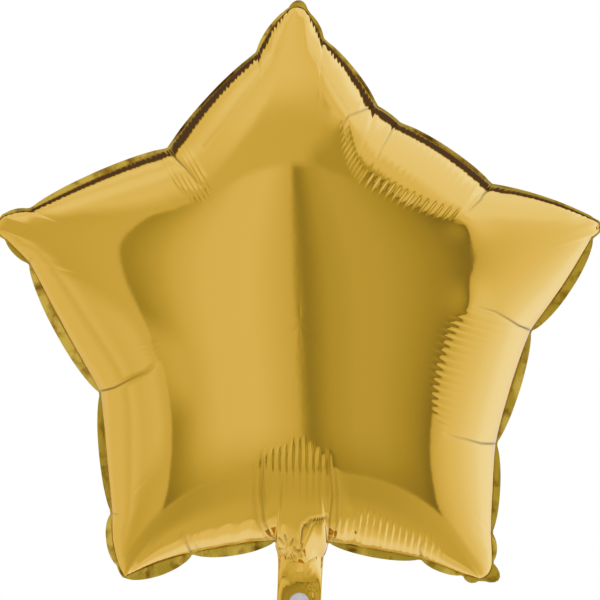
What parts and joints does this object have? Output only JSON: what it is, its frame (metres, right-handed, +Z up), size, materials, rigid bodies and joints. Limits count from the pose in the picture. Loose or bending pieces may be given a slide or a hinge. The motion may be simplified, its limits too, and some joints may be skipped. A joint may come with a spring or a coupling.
{
  "type": "star foil balloon",
  "caption": "Five-pointed star balloon of metallised film, blown up, with a puckered welded edge and a flat filling tail.",
  "frame": {"origin": "middle of the neck where the ribbon is tied, on the welded edge's middle plane", "axes": "+Z up from the tie through the star's top tip, +Y from front to back through the thickness, +X to the right seen from the front"},
  "size_m": [0.4248, 0.1608, 0.4557],
  "materials": {
    "gold_film": "bright gold metallised nylon film, mirror-like with fine puckers",
    "clear_film": "clear polyethylene valve film"
  },
  "bodies": {
    "root": {"foil_envelope": "gold_film", "valve_film": "clear_film"}
  },
  "joints": []
}
